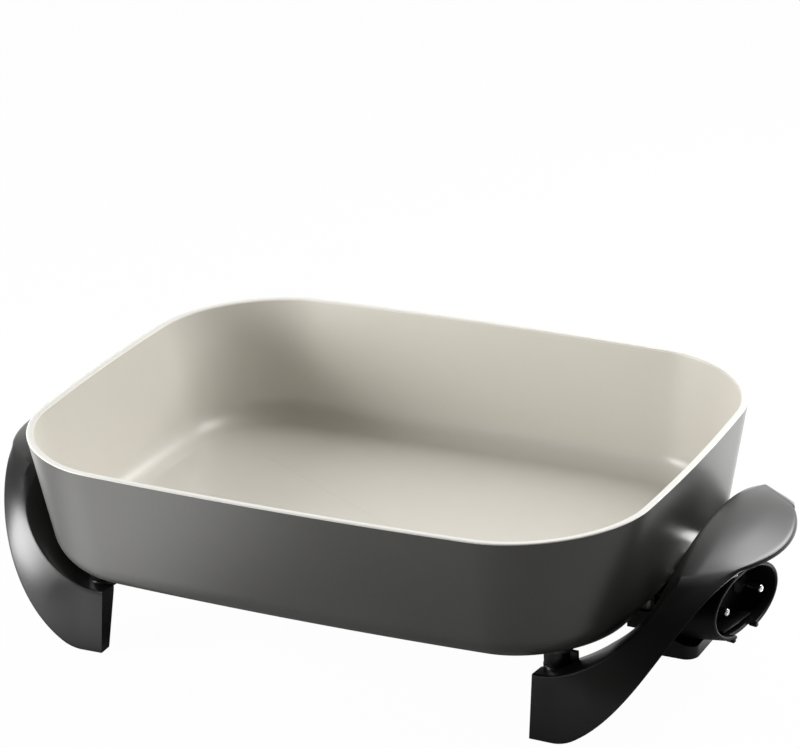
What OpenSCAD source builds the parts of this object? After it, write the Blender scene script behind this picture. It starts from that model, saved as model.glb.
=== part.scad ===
// Rectangular electric skillet: a cast pan on two arched handles that are also its legs,
// with a socket for a plug-in heat control under the right grip.
// Origin: on the table, under the middle of the pan. X runs to the socket end, Z is up.

/* [Pan] */
// Length of the pan over its rim, at the middle of the ends
pan_length = 415; // [390:1:440]
// Width of the pan over its rim, at the middle of the sides
pan_width = 310; // [290:1:340]
// Depth of the pan outside, from the rim to the underside
pan_depth = 85.5; // [75:0.5:100]
// Radius of the corners at the rim
corner_radius = 73.5; // [65:0.5:85]
// How far each side bows outward at its middle
side_bow = 8; // [5:0.5:10]
// How far the wall leans in between the rim and the underside
wall_lean = 15.2; // [10:0.2:20]
// Radius between the wall and the underside
base_radius = 23; // [18:1:27]
// Thickness of the cast wall
wall_t = 3.8; // [3:0.1:5]
// Thickness of the cast floor
floor_t = 4.6; // [4:0.1:6]
// Thickness of the ceramic coating
coating_t = 0.7; // [0.4:0.1:1.2]
// Rounding of the rim's edges
rim_round = 1.1; // [0.6:0.1:1.6]

/* [Legs] */
// Height of the front edge of a foot's top face
foot_height = 39.4; // [36:0.2:44]
// Length of a foot's flat sole, along the pan
foot_length = 21; // [14:0.5:26]
// Thickness of a foot at its sole
foot_t = 9.5; // [7:0.5:12]
// Thickness of a foot at its top
foot_top_t = 14; // [11:0.5:17]
// How far a foot splays outward from its top to its sole
foot_splay = 6.7; // [3:0.2:9]
// Distance from the pan's end in to the inner face of the feet
foot_inset = 61.7; // [58:0.5:66]
// Distance from the pan's side in to the front of the feet, at their top
foot_setback = 41.5; // [38:0.5:45]
// Height above the table of the pads that carry the posts
pad_height = 40.7; // [39:0.1:42]
// Thickness of the pads under the posts
pad_t = 4; // [3:0.2:5]
// Distance of the post from the inner face of its foot
post_offset_x = 9.2; // [8:0.2:12]
// Distance of the post behind the front of its foot
post_offset_y = 17.5; // [15:0.5:20]
// Radius of a post
post_r = 8.5; // [7:0.5:9]
// Height of a post
post_height = 9.4; // [6:0.2:14]
// Height of the cast boss that a post bears on
boss_height = 3; // [2:0.2:6]
// Length of the rib beside a post, from the post's axis
post_rib = 13; // [11:0.5:15]
// Thickness of that rib
post_rib_t = 2.6; // [2:0.2:4]
// Radius of a leg screw's shank
leg_screw_r = 2; // [1.6:0.1:2.4]

/* [Handles] */
// Wall of the handle mouldings
shell_t = 3; // [2.4:0.1:3.6]
// Gap between the pan's end and the grip, at the crease
grip_gap = 6.9; // [5:0.2:10]
// Height of the grip's inner edge at the crease
grip_height = 92; // [88:0.5:100]
// Rise of the inner edge from the crease to the grip's middle
grip_rise = 13.4; // [10:0.2:17]
// How far the outer edge lies below the inner edge, at the grip's middle
grip_fall = 14.1; // [10:0.2:17]
// Reach of the grip outward from its inner edge, at the crease
root_reach = 34.4; // [30:0.2:38]
// Reach of the grip outward from its inner edge, at its middle
grip_reach = 46; // [42:0.2:50]
// Half length of the grip's inner edge, between the creases
grip_inner_half = 70; // [66:1:74]
// Half length of the grip's outer edge, between the creases
grip_outer_half = 47; // [43:1:51]
// Height of the grip's rolled outer lip, at its middle
lip_height = 7; // [5:0.2:8]
// Height of that lip at the crease, where it steps up from the leg
corner_step = 2.6; // [2:0.2:4]
// Height of the ridge along the grip's inner edge, at the crease
ridge_rise = 3.6; // [2:0.2:4.4]
// Crown of the handle's outer face
face_crown = 1; // [0.4:0.1:1.6]
// Height of the skirt's lower edge under the middle of the grip
skirt_height = 77; // [76:0.5:84]
// Thickness of the cover under the grip
cover_t = 2.4; // [2:0.1:3]
// Radius of a grip screw's shank
grip_screw_r = 1.5; // [1.2:0.1:1.8]
// Spacing of the grip screws along the grip
grip_screw_pitch = 33; // [26:1:36]

/* [Socket] */
// Distance of the socket's mouth beyond the pan's end
mouth_reach = 27.7; // [24:0.5:32]
// How far the socket's mouth lies behind the pan's long axis
mouth_shift = 2; // [0:0.5:4]
// Angle that the socket is turned towards the front
socket_turn = 11.4; // [8:0.2:14]
// Half width of the socket's mouth, outside
mouth_half_w = 35.6; // [34:0.2:38]
// Half height of the socket's mouth, outside
mouth_half_h = 21.9; // [21:0.1:24]
// Wall of the socket's guard
guard_t = 2.5; // [2:0.1:3]
// Spacing of the two contact pins
pin_pitch = 37.8; // [36:0.2:40]
// Radius of a contact pin
pin_r = 2.38; // [2:0.02:2.6]
// Distance of the pin tips inside the mouth
pin_recess = 1.5; // [1:0.5:6]
// Depth of the socket, from the mouth to the terminal block
socket_depth = 19; // [16:0.5:20]
// Thickness of the terminal block
block_t = 3; // [2.4:0.2:4]
// Radius of the probe tube's bore
probe_r = 3.3; // [3:0.05:3.4]
// Length of the probe tube
probe_length = 76; // [65:1:85]
// Width of the notch in the lower lip of the mouth
notch_w = 22; // [18:1:26]
// Depth of that notch
notch_depth = 6; // [4:0.5:8]

/* [Heating element] */
// Diameter of the element's sheath
element_d = 8; // [7:0.1:8.2]
// Distance of the element's long runs from the pan's long axis
loop_half_w = 75; // [68:1:82]
// Distance of the loop's closed end from the pan's middle
loop_end = 150; // [135:1:152]
// Distance of the loop's near end from the pan's middle
loop_start = 132; // [125:1:135]
// Inside bend radius of the near corners, to the sheath's axis
near_bend = 18; // [15:1:21]
// Bend radius of the far corners, to the sheath's axis
far_bend = 30; // [20:1:35]
// Distance of the clamps from the pan's middle
clamp_x = 62; // [40:1:80]
// Thickness of the clamp strip
clamp_t = 1.5; // [1.2:0.1:1.8]
// Width of the clamp strip
clamp_w = 11; // [9:0.5:14]
// Radius of a clamp screw's shank
clamp_screw_r = 1.5; // [1.2:0.1:1.7]

/* [Terminal housing] */
// Wall of the terminal housing
housing_t = 2.5; // [2:0.1:3]
// Height of the housing's lower edge
housing_low = 23.5; // [22:0.5:26]
// Height of the underside of the housing's neck
neck_low = 37; // [35:0.5:39]
// Distance from the pan's end in to the back of the neck
neck_back = 35.5; // [33:0.5:38]
// Distance from the pan's end in to the housing's outer wall
housing_back = 7.5; // [7:0.5:9]
// Reach of the housing's nose beyond the pan's end
nose_reach = 7.5; // [5:0.5:9]
// Distance of the housing's front face from the pan's long axis
housing_front = 33; // [31:0.5:35]
// Distance of the housing's rear face from the pan's long axis
housing_rear = 44; // [43:0.5:46]
// Corner radius of the housing's nose
nose_round = 8; // [5:0.5:10]
// Thickness of the housing's bottom cover
housing_cover_t = 2; // [1.6:0.1:3]
// Radius of the housing's screws
housing_screw_r = 1.8; // [1.5:0.1:2]

/* [Fit] */
// Clearance around a screw, a pin or a tube
fit_gap = 0.1; // [0.06:0.01:0.15]
// Gap between mouldings that lie side by side
seat_gap = 0.3; // [0.2:0.05:0.5]

/* [Hidden] */
$fn = 48;

cast_colour = [0.27, 0.27, 0.26];
cream_colour = [0.90, 0.88, 0.82];
phenolic_colour = [0.07, 0.07, 0.07];
steel_colour = [0.72, 0.72, 0.71];
sheath_colour = [0.35, 0.34, 0.32];
ceramic_colour = [0.88, 0.86, 0.80];

end_x = pan_length / 2;
side_y = pan_width / 2;
base_z = pad_height + post_height + boss_height;
rim_z = base_z + pan_depth;
lean_angle = atan(wall_lean / pan_depth);
socket_z = base_z - element_d / 2 - fit_gap;
corner_steps = 11;
side_steps = 5;
fillet_steps = 6;
eps = 0.01;

// ---------------------------------------------------------------- pan

half_l = end_x - side_bow;
half_w = side_y - side_bow;

// One point of the rounded rectangle, pushed out by the bow of its side
function bowed(p, a, b) = [
  p.x * (1 + side_bow * (1 - pow(p.y / b, 2)) / a),
  p.y * (1 + side_bow * (1 - pow(p.x / a, 2)) / b)
];

// Plan of the pan, drawn in by an inset: four corner arcs with steps between them
function outline(inset) =
  let (
    a = half_l - inset,
    b = half_w - inset,
    r = corner_radius - inset,
    centres = [[a - r, b - r], [r - a, b - r], [r - a, r - b], [a - r, r - b]],
    arc = function (q, i) centres[q] + r * [cos(90 * (q + i / corner_steps)), sin(90 * (q + i / corner_steps))]
  )
  [for (q = [0:3]) each concat(
    [for (i = [0:corner_steps]) bowed(arc(q, i), a, b)],
    [for (i = [1:side_steps - 1]) let (f = i / side_steps)
      bowed(arc(q, corner_steps) * (1 - f) + arc((q + 1) % 4, 0) * f, a, b)]
  )];

// How far a wall lies inside the rim's outline at height z, for a skin of thickness t
function lean(z, t) = wall_lean * (rim_z - z) / pan_depth + t / cos(lean_angle);

// Fillet between the leaning wall and a floor at z0, as pairs of inset and height
function fillet(z0, t, r) =
  let (centre_z = z0 + r, centre_inset = lean(centre_z, t) + r / cos(lean_angle))
  [for (i = [0:fillet_steps]) let (f = 90 - (90 - lean_angle) * i / fillet_steps)
    [centre_inset - r * cos(f), centre_z - r * sin(f)]];

function reversed(v) = [for (i = [len(v) - 1:-1:0]) v[i]];

outer_fillet = fillet(base_z, 0, base_radius);
metal_fillet = fillet(base_z + floor_t, wall_t, base_radius - wall_t);
inner_fillet = fillet(base_z + floor_t + coating_t, wall_t + coating_t, base_radius - wall_t - coating_t);
metal_rim_z = rim_z - coating_t;

// Stacks rings of the outline at a list of [inset, height] and closes both ends. Each facet is split
// between its lower and its upper ring alike, so that two stacks can share a wall
module stacked(profile) {
  rings = [for (p = profile) [for (q = outline(p[0])) [q.x, q.y, p[1]]]];
  n = len(rings[0]);
  last = (len(profile) - 1) * n;
  polyhedron(
    points = [for (ring = rings) each ring],
    faces = concat(
      [[for (j = [0:n - 1]) j]],
      [[for (j = [n - 1:-1:0]) last + j]],
      [for (i = [0:len(profile) - 2]) for (j = [0:n - 1])
        let (k = (j + 1) % n, a = i * n + j, b = i * n + k, c = a + n, d = b + n)
        each profile[i][1] > profile[i + 1][1] ? [[a, c, b], [b, c, d]] : [[a, c, d], [a, d, b]]]
    )
  );
}

module pan_casting() {
  stacked(concat(
    outer_fillet,
    [[lean(metal_rim_z, 0), metal_rim_z], [lean(metal_rim_z, wall_t), metal_rim_z]],
    reversed(metal_fillet)
  ));
}

module ceramic_coating() {
  color(cream_colour)
  stacked(concat(
    metal_fillet,
    [
      [lean(metal_rim_z, wall_t), metal_rim_z],
      [lean(metal_rim_z, 0), metal_rim_z],
      [lean(rim_z, rim_round * 0.3), rim_z - coating_t * 0.3],
      [lean(rim_z, rim_round), rim_z],
      [lean(rim_z, wall_t + coating_t - rim_round), rim_z],
      [lean(rim_z, wall_t + coating_t), rim_z - rim_round]
    ],
    reversed(inner_fillet)
  ));
}

boss_r = post_r + 1;
screw_boss_r = 3.6;
boss_sink = 2.5;
thread_depth = 5.4;

module pan() {
  color(cast_colour)
  difference() {
    union() {
      pan_casting();
      for (p = post_places)
        translate([p.x, p.y, base_z - boss_height]) cylinder(r = boss_r, h = boss_height + boss_sink);
      for (p = clamp_screw_places)
        translate([p.x, p.y, socket_z]) cylinder(r = screw_boss_r, h = base_z - socket_z + 1);
      for (p = housing_screw_places)
        translate([p.x, p.y, socket_z]) cylinder(r = screw_boss_r + 0.4, h = base_z - socket_z + boss_sink);
      probe_saddle();
    }
    for (p = post_places)
      translate([p.x, p.y, base_z - boss_height - eps])
        cylinder(r = leg_screw_r + fit_gap / 2, h = thread_depth);
    for (p = clamp_screw_places)
      translate([p.x, p.y, socket_z - eps]) cylinder(r = clamp_screw_r + fit_gap / 2, h = thread_depth);
    for (p = housing_screw_places)
      translate([p.x, p.y, socket_z - eps]) cylinder(r = housing_screw_r + fit_gap / 2, h = thread_depth);
    in_socket() rotate([0, -90, 0])
      cylinder(r = probe_tube_r + fit_gap / 2, h = socket_depth + probe_length + 10);
  }
}

// Cast saddle that holds the inner end of the probe tube against the underside
saddle_l = 17;
saddle_w = 11;
module probe_saddle() {
  saddle_low = probe_tube_r + 2.5;
  in_socket()
    translate([-socket_depth - probe_length + saddle_w, -saddle_w / 2, -saddle_low])
      cube([saddle_l, saddle_w, saddle_low + base_z - socket_z + 1]);
}

// ---------------------------------------------------------------- posts and leg screws

post_x = end_x - foot_inset + post_offset_x;
post_y = side_y - foot_setback - post_offset_y;
post_places = [for (sx = [-1, 1]) for (sy = [-1, 1]) [sx * post_x, sy * post_y]];
leg_screw_head_r = 4.4;
leg_screw_head_h = 2.8;
washer_r = 5.6;
washer_t = 1;

module post(sx, sy) {
  color(phenolic_colour)
  translate([sx * post_x, sy * post_y, pad_height])
    difference() {
      union() {
        cylinder(r = post_r, h = post_height);
        translate([sx > 0 ? 0 : -post_rib, -post_rib_t / 2, 0]) cube([post_rib, post_rib_t, post_height]);
      }
      translate([0, 0, -eps]) cylinder(r = leg_screw_r + fit_gap, h = post_height + 2 * eps);
    }
}

module leg_washers() {
  color(steel_colour)
  for (p = post_places)
    translate([p.x, p.y, pad_height - pad_t - washer_t])
      difference() {
        cylinder(r = washer_r, h = washer_t);
        translate([0, 0, -eps]) cylinder(r = leg_screw_r + fit_gap, h = washer_t + 2 * eps);
      }
}

// Pan-head screw pointing up, its bearing face at z = 0
module screw(r, length, head_r, head_h) {
  difference() {
    union() {
      cylinder(r = r, h = length);
      translate([0, 0, -head_h]) cylinder(r = head_r, h = head_h);
    }
    for (a = [0, 90])
      rotate(a) translate([-head_r * 0.6, -head_r * 0.12, -head_h - eps])
        cube([head_r * 1.2, head_r * 0.24, head_h * 0.5]);
  }
}

module leg_screws() {
  bearing_z = pad_height - pad_t - washer_t;
  color(steel_colour)
  for (p = post_places)
    translate([p.x, p.y, bearing_z])
      screw(leg_screw_r, base_z - boss_height + thread_depth - 0.3 - bearing_z, leg_screw_head_r, leg_screw_head_h);
}

// ---------------------------------------------------------------- handles

leg_steps = 15;
grip_steps = 14;
sole_share = 0.13;
toe_round = 0.035;
solid_share = 0.30;
ridge_start = 0.7;
grip_crown = 1.5;

function bezier(p, t) =
  pow(1 - t, 3) * p[0] + 3 * pow(1 - t, 2) * t * p[1] + 3 * (1 - t) * t * t * p[2] + pow(t, 3) * p[3];
function mix(a, b, f) = a * (1 - f) + b * f;
function unit(v) = v / norm(v);

// Corners of the front foot of the right handle, and of the crease where its leg meets the grip
foot_upper = [end_x - foot_inset, -(side_y - foot_setback), foot_height];
sole_inner = [foot_upper.x, foot_upper.y - foot_splay, 0];
sole_outer = sole_inner + [foot_length, -0.5, 0];
foot_back = foot_upper + [0, foot_top_t, -1.7];
crease_inner = [end_x + grip_gap, -grip_inner_half, grip_height];
crease_outer = [end_x + grip_gap + root_reach, -grip_outer_half, grip_height + 1];
crease_skirt = [end_x - 11.5, -52, 60];

// The three edges that shape a leg; t runs from the foot to the crease
function leg_upper(t) =
  bezier([foot_upper, foot_upper + [31.2, -3.5, -2.6], crease_inner + [5.3, -35, -17], crease_inner], t);
function leg_lower_sharp(t) =
  t < sole_share
    ? mix(sole_inner, sole_outer, t / sole_share)
    : bezier(
        [sole_outer, sole_outer + [45.8, -1.9, 22.9], crease_outer + [-20, -54, -8.5], crease_outer],
        (t - sole_share) / (1 - sole_share));
// Averaging over a window rounds the corner where the sole turns up into the leg
function leg_lower(t) =
  let (w = min(toe_round, t, 1 - t))
  (leg_lower_sharp(t - w) + leg_lower_sharp(t - w / 3) + leg_lower_sharp(t + w / 3) + leg_lower_sharp(t + w)) / 4;
function leg_skirt(t) =
  bezier([foot_back, foot_back + [22, 7.5, 3.3], crease_skirt + [-10, -22, -14], crease_skirt], t);

// The same three edges along the grip; g runs from -1 at one crease to 1 at the other
function grip_upper(g) =
  [crease_inner.x + 1.6 * (1 - g * g), grip_inner_half * g, grip_height + grip_rise * (1 - g * g)];
function grip_lower(g) =
  let (mid = [crease_inner.x + 1.6 + grip_reach, 0, grip_height + grip_rise - grip_fall])
  [mix(mid.x, crease_outer.x, g * g), grip_outer_half * g, mix(mid.z, crease_outer.z - 0.7, g * g)];
function grip_skirt(g) =
  [mix(end_x - 0.5, crease_skirt.x, g * g), -crease_skirt.y * g, mix(skirt_height, crease_skirt.z, g * g)];

// Points across the outer face of a leg, between its lower edge o and its upper edge i
ridge_at = 0.19;
face_steps = [0.04, 0.12, 0.3, 0.48, 0.65, 1 - ridge_at];
function leg_face(o, i, k, crown, ridge) =
  let (outward = unit(i - k))
  [for (f = face_steps) mix(o, i, f) + (4 * crown * f * (1 - f) + ridge * f / (1 - ridge_at)) * outward];

// The same across the grip, from its rolled lip over the crowned top to the ridge by the inner edge
function grip_face(o, i, k, g) =
  let (
    flat_out = unit([o.x - i.x, o.y - i.y, 0]),
    lip = mix(lip_height, corner_step, pow(g, 4)),
    brow = o - 0.28 * lip * flat_out + [0, 0, lip],
    ridge = mix(i, o, mix(0.05, ridge_at, g * g)) + mix(0.8, ridge_rise, g * g) * unit(i - k)
  )
  concat(
    [o + 0.05 * lip * flat_out + [0, 0, 0.5 * lip], brow],
    [for (f = [0.25, 0.5, 0.75]) mix(brow, ridge, f) + [0, 0, 4 * grip_crown * (1 - g * g) * f * (1 - f)]],
    [ridge]
  );

// Cross-section with a face over lower edge o and upper edge i, and a skirt down to k; solid is 1 in a foot
function section(o, i, k, face, solid) =
  let (
    down = unit(o - i),
    inward = unit(k - i),
    back_of_sole = mix(o + shell_t * inward, o + [0, foot_t, 0], solid),
    low = [back_of_sole.x, back_of_sole.y, max(back_of_sole.z, 0)],
    under_skirt = k + shell_t * down,
    inner_corner = mix(i + shell_t * (down + inward), (under_skirt + low) / 2, solid)
  )
  concat([o], face, [i, mix(i, k, 0.5), k, under_skirt, inner_corner, low]);

function leg_section(t) =
  let (
    solid = max(0, min(1, 1 - (t - sole_share) / (solid_share - sole_share))),
    ridge = ridge_rise * pow(max(0, (t - ridge_start) / (1 - ridge_start)), 3),
    o = leg_lower(t), i = leg_upper(t), k = leg_skirt(t)
  )
  section(o, i, k, leg_face(o, i, k, face_crown * (1 - solid), ridge), solid);
function grip_section(g) =
  let (o = grip_lower(g), i = grip_upper(g), k = grip_skirt(g))
  section(o, i, k, grip_face(o, i, k, g), 0);
function flipped(ring) = [for (p = ring) [p.x, -p.y, p.z]];

first_grip = 0.955;
leg_rings = [for (n = [0:leg_steps]) leg_section(n / leg_steps)];
grip_rings = [for (n = [0:grip_steps]) grip_section(first_grip * (2 * n / grip_steps - 1))];
handle_rings = concat(leg_rings, grip_rings, [for (ring = reversed(leg_rings)) flipped(ring)]);

// Skins a list of rings with equal numbers of points; a fan from the last point but one closes each end
module skinned(rings) {
  n = len(rings[0]);
  last = (len(rings) - 1) * n;
  hub = n - 2;
  polyhedron(
    points = [for (ring = rings) each ring],
    faces = concat(
      [for (j = [0:n - 3]) let (a = (hub + 1 + j) % n, b = (hub + 2 + j) % n)
        each [[hub, b, a], [last + hub, last + a, last + b]]],
      [for (i = [0:len(rings) - 2]) for (j = [0:n - 1]) let (k = (j + 1) % n)
        each [[i * n + j, (i + 1) * n + k, (i + 1) * n + j], [i * n + j, i * n + k, (i + 1) * n + k]]]
    )
  );
}

// Where the grip screws stand: a share of the way from the outer to the inner edge
screw_line = 0.42;
grip_screw_boss_r = 3.6;
boss_gap = 1.8;
grip_screw_gs = [for (s = [-1:1]) s * grip_screw_pitch / mix(grip_outer_half, grip_inner_half, screw_line)];
function grip_top(g) = mix(grip_lower(g), grip_upper(g), screw_line);
function cover_mid(g) = mix(cover_outer(g), cover_inner(g), screw_line) - [0, 0, 2 * cover_sag * screw_line];

pocket_h = 14;
module handle_right_shape() {
  difference() {
    union() {
      skinned(handle_rings);
      for (sy = [-1, 1])
        translate([post_x, sy * post_y, pad_height - pad_t]) cylinder(r = post_r + 0.4, h = pad_t);
      for (g = grip_screw_gs) {
        top = grip_top(g);
        low = cover_mid(g).z + cover_t + boss_gap;
        translate([top.x, top.y, low]) cylinder(r = grip_screw_boss_r, h = top.z - shell_t * 0.6 - low);
      }
    }
    for (sy = [-1, 1]) translate([post_x, sy * post_y, 0]) {
      translate([0, 0, pad_height - pad_t - eps]) cylinder(r = leg_screw_r + fit_gap, h = pad_t + 2 * eps);
      translate([0, 0, pad_height - pad_t - pocket_h]) cylinder(r = washer_r + seat_gap, h = pocket_h);
      translate([0, 0, pad_height]) cylinder(r = post_r + seat_gap, h = post_height);
      translate([0, -post_rib_t / 2 - seat_gap, pad_height])
        cube([post_rib + seat_gap, post_rib_t + 2 * seat_gap, post_height]);
    }
    cover_room();
    for (g = grip_screw_gs)
      translate([grip_top(g).x, grip_top(g).y, cover_mid(g).z])
        cylinder(r = grip_screw_r + fit_gap / 2, h = cover_t + 6.5);
  }
}

module on_side(left) {
  if (left) mirror([1, 0, 0]) children();
  else children();
}

module handle(left) {
  color(phenolic_colour)
  on_side(left) handle_right_shape();
}

// Cover that closes the underside of the grip, between the outer lip and the skirt
cover_end = 0.86;
cover_sag = 1;
function cover_outer(g) =
  let (o = grip_lower(g), i = grip_upper(g), k = grip_skirt(g))
  o + (shell_t + seat_gap) * unit(k - i) + shell_t * unit(i - o);
function cover_inner(g) =
  let (o = grip_lower(g), i = grip_upper(g), k = grip_skirt(g))
  mix(i, k, 0.78) + (shell_t + 3 * seat_gap) * unit(o - i);
function cover_ring(g) =
  let (
    a = cover_outer(g), b = cover_inner(g), m = mix(a, b, 0.5) - [0, 0, cover_sag], up = [0, 0, cover_t],
    skirt_up = unit(grip_upper(g) - grip_skirt(g))
  )
  [a, a + up, m + up, b + skirt_up * cover_t / skirt_up.z, b, m];

// Room for the cover's outer edge, cut out of the lip
function room_ring(g) =
  let (
    a = cover_outer(g), b = mix(a, cover_inner(g), 0.3),
    out = seat_gap * unit([a.x - b.x, a.y - b.y, 0]), up = [0, 0, cover_t + seat_gap], down = [0, 0, -shell_t]
  )
  [a + out + down, a + out + up, mix(a, b, 0.5) + up, b + up, b + down, mix(a, b, 0.5) + down];
module cover_room() {
  end = cover_end + 0.012;
  skinned([for (n = [0:grip_steps]) room_ring(end * (2 * n / grip_steps - 1))]);
}

module grip_cover(left) {
  color(phenolic_colour)
  on_side(left)
    difference() {
      skinned([for (n = [0:grip_steps]) cover_ring(cover_end * (2 * n / grip_steps - 1))]);
      for (g = grip_screw_gs)
        translate([grip_top(g).x, grip_top(g).y, cover_mid(g).z - 8]) {
          cylinder(r = grip_screw_r + fit_gap, h = 20);
          cylinder(r = grip_head_r + fit_gap, h = 8 + cover_t - grip_seat_t);
        }
    }
}

grip_head_r = 2.8;
grip_head_h = 1.6;
grip_seat_t = 1;
module grip_screws(left) {
  color(steel_colour)
  on_side(left)
    for (g = grip_screw_gs)
      translate([grip_top(g).x, grip_top(g).y, cover_mid(g).z + cover_t - grip_seat_t])
        screw(grip_screw_r, 6.4, grip_head_r, grip_head_h);
}

// ---------------------------------------------------------------- socket

// Places its children at the middle of the mouth, with X pointing out along the pins
module in_socket() {
  translate([end_x + mouth_reach, mouth_shift, socket_z]) rotate([0, 0, -socket_turn]) children();
}
module along_pin(side) {
  in_socket() translate([0, side * pin_pitch / 2, 0]) rotate([0, 90, 0]) children();
}

insulator_r = 4.5;
insulator_flange_r = 6.4;
insulator_flange_t = 2;
insulator_back = 5;
sheath_start = socket_depth + block_t + insulator_back + fit_gap;
pin_root = 7;
shank_r = pin_r - 0.2;
shank_show = 0.5;
probe_tube_r = probe_r + 0.7;

// Contact pin on a thinner shank, which ends inside the element's sheath
module terminal_pin(side) {
  tip_h = 1.4;
  root = sheath_start + pin_root;
  contact_start = socket_depth - insulator_flange_t - shank_show;
  color(steel_colour)
  along_pin(side) {
    translate([0, 0, -root]) cylinder(r = shank_r, h = root - contact_start + eps);
    translate([0, 0, -contact_start]) cylinder(r = pin_r, h = contact_start - pin_recess - tip_h);
    translate([0, 0, -pin_recess - tip_h]) cylinder(r1 = pin_r, r2 = pin_r * 0.55, h = tip_h);
  }
}

module pin_insulator(side) {
  color(ceramic_colour)
  along_pin(side) translate([0, 0, -socket_depth])
    difference() {
      union() {
        translate([0, 0, -block_t - insulator_back]) cylinder(r = insulator_r, h = block_t + insulator_back + eps);
        cylinder(r = insulator_flange_r, h = insulator_flange_t);
      }
      translate([0, 0, -block_t - insulator_back - eps])
        cylinder(r = shank_r + fit_gap / 2, h = block_t + insulator_back + insulator_flange_t + 2 * eps);
    }
}

// Oval plate across the guard that carries the insulators and the mouth of the probe tube
module terminal_block() {
  color(phenolic_colour)
  difference() {
    intersection() {
      in_socket() translate([-socket_depth - block_t, -end_x / 2, -rim_z / 2]) cube([block_t, end_x, rim_z]);
      skinned([oval_ring(guard_t + seat_gap, 0, 0), oval_ring(guard_t + seat_gap, 1, 0)]);
    }
    for (side = [-1, 1])
      along_pin(side) translate([0, 0, -socket_depth - block_t - eps])
        cylinder(r = insulator_r + fit_gap / 2, h = block_t + 2 * eps);
    in_socket() rotate([0, -90, 0]) cylinder(r = probe_tube_r + fit_gap / 2, h = socket_depth + block_t + 1);
    housing_envelope(seat_gap);
  }
}

module probe_tube() {
  end_t = 2;
  color(steel_colour)
  in_socket() translate([-socket_depth, 0, 0]) rotate([0, -90, 0])
    difference() {
      cylinder(r = probe_tube_r, h = probe_length);
      translate([0, 0, -eps]) cylinder(r = probe_r, h = probe_length - end_t);
    }
}

// Guard: a shell lofted from the oval mouth back to a wider oval round the housing
guard_back_x = end_x - 9.5;
guard_back_y = (housing_rear - housing_front) / 2;
guard_back_w = (housing_rear + housing_front) / 2 + 1.2;
guard_back_h = mouth_half_h + 2;
guard_back_z = socket_z - 2.6;
guard_steps = 44;

function mouth_point(a, inset, out) =
  let (x = out, y = (mouth_half_w - inset) * cos(a))
  [
    end_x + mouth_reach + x * cos(socket_turn) + y * sin(socket_turn),
    mouth_shift - x * sin(socket_turn) + y * cos(socket_turn),
    socket_z + (mouth_half_h - inset) * sin(a)
  ];
function back_point(a, inset, out) = [
  guard_back_x - out,
  guard_back_y + (guard_back_w - inset) * cos(a),
  guard_back_z + (guard_back_h - inset) * sin(a)
];
function oval_ring(inset, f, out) = [
  for (n = [0:guard_steps - 1]) let (a = -360 * n / guard_steps)
    mix(back_point(a, inset, out), mouth_point(a, inset, out), f)
];

module guard_shell() {
  lip = 0.5;
  difference() {
    skinned([oval_ring(0, 0, 0), oval_ring(0, 0.5, 0), oval_ring(0, 1, -lip), oval_ring(lip, 1, 0)]);
    skinned([oval_ring(guard_t, 0, 0.5), oval_ring(guard_t, 1, -0.5), oval_ring(guard_t - 0.4, 1, 0.5)]);
  }
}

// Solid core of the guard, to half its wall: it trims what stands inside the guard
module guard_core() {
  skinned([oval_ring(guard_t / 2, 0, 2), oval_ring(guard_t / 2, 1, 0)]);
}

lug_l = 5.6;
lug_w = 10;
lug_h = 8;
lug_z = neck_low + 2.5;
lug_inset = 11;
function guard_screw_y(side) = guard_back_y + side * (guard_back_w - lug_inset);

// Lug inside the guard, against the housing's outer wall, for one guard screw
module guard_lug(side) {
  inner_y = -lug_w / 2;
  outer_y = lug_w * 1.5;
  low_y = side > 0 ? inner_y : -outer_y;
  intersection() {
    translate([end_x - housing_back + seat_gap, guard_screw_y(side) + low_y, lug_z - lug_h / 2])
      cube([lug_l, outer_y - inner_y, lug_h]);
    guard_core();
  }
}

// Ledge across the lower side of the socket, that the heat control's nose slides on
ledge_rise = 4.5;
ledge_t = 1.6;
ledge_l = 10;
module guard_ledge() {
  intersection() {
    in_socket() translate([-notch_depth - 1 - ledge_l, -mouth_half_w, ledge_rise - mouth_half_h])
      cube([ledge_l, 2 * mouth_half_w, ledge_t]);
    guard_core();
  }
}

// Small tabs at both sides of the notch, below the lip
tab_w = 3;
tab_h = 3.2;
tab_drop = 0.8;
module notch_tabs() {
  for (side = [-1, 1])
    in_socket() translate([-notch_depth, side * (notch_w + tab_w) / 2 - tab_w / 2, -mouth_half_h - tab_drop])
      cube([notch_depth - 0.6, tab_w, tab_h]);
}

module probe_guard() {
  notch_h = 8;
  beyond = 3;
  color(phenolic_colour)
  difference() {
    union() {
      guard_shell();
      for (side = [-1, 1]) guard_lug(side);
      notch_tabs();
      guard_ledge();
    }
    in_socket() translate([-notch_depth, -notch_w / 2, -mouth_half_h - beyond])
      cube([notch_depth + beyond, notch_w, notch_h]);
    housing_envelope(seat_gap);
    for (side = [-1, 1])
      translate([back_x - housing_t - 1, guard_screw_y(side), lug_z]) rotate([0, 90, 0])
        cylinder(r = housing_screw_r + fit_gap / 2, h = housing_t + lug_l + 1);
  }
}

// ---------------------------------------------------------------- terminal housing

housing_w = housing_front + housing_rear;
neck_x = end_x - neck_back;
back_x = end_x - housing_back;
nose_x = end_x + nose_reach;
step_x = neck_x + 16;
nose_top = housing_low + 5.5;

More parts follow.
